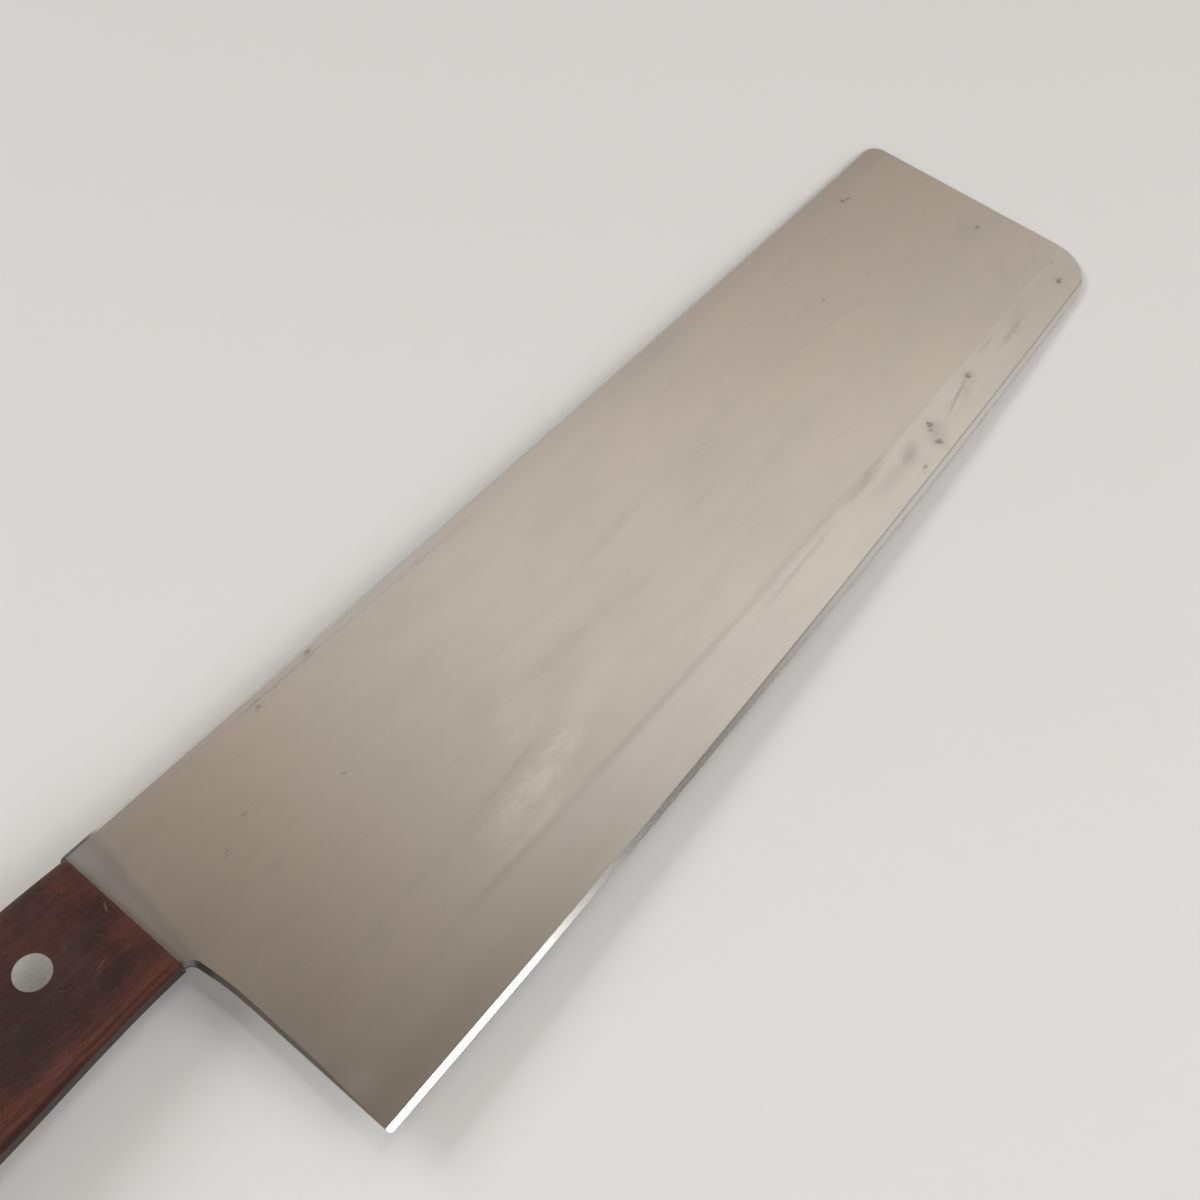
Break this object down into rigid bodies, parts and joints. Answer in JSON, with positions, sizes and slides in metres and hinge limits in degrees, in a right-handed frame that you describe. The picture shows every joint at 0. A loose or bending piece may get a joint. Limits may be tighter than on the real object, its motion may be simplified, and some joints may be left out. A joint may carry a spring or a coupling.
{
  "type": "slicing cleaver",
  "caption": "Large butcher's slicing cleaver: wide, square-ended steel blade with rounded corners, full tang and riveted dark wood handle scales.",
  "frame": {"origin": "under the centre of the knife's bounding box, on the plane of the back scale's flat flank", "axes": "+X from the handle's butt to the blade's tip, +Y from the cutting edge to the spine, +Z through the thickness, out of the show side"},
  "size_m": [0.3912, 0.0852, 0.017],
  "materials": {
    "blade_steel": "satin, ground across the blade, lightly worn and pitted",
    "scale_wood": "dark purple-brown rosewood, hand-worn semi-matt",
    "rivet_metal": "satin, sanded flush with the wood"
  },
  "bodies": {
    "root": {"blade_and_tang": "blade_steel", "scale_show_side": "scale_wood", "scale_back_side": "scale_wood", "rivet_front_core": "rivet_metal", "rivet_front_tube": "rivet_metal", "rivet_middle_core": "rivet_metal", "rivet_middle_tube": "rivet_metal", "rivet_rear_core": "rivet_metal", "rivet_rear_tube": "rivet_metal"}
  },
  "joints": []
}
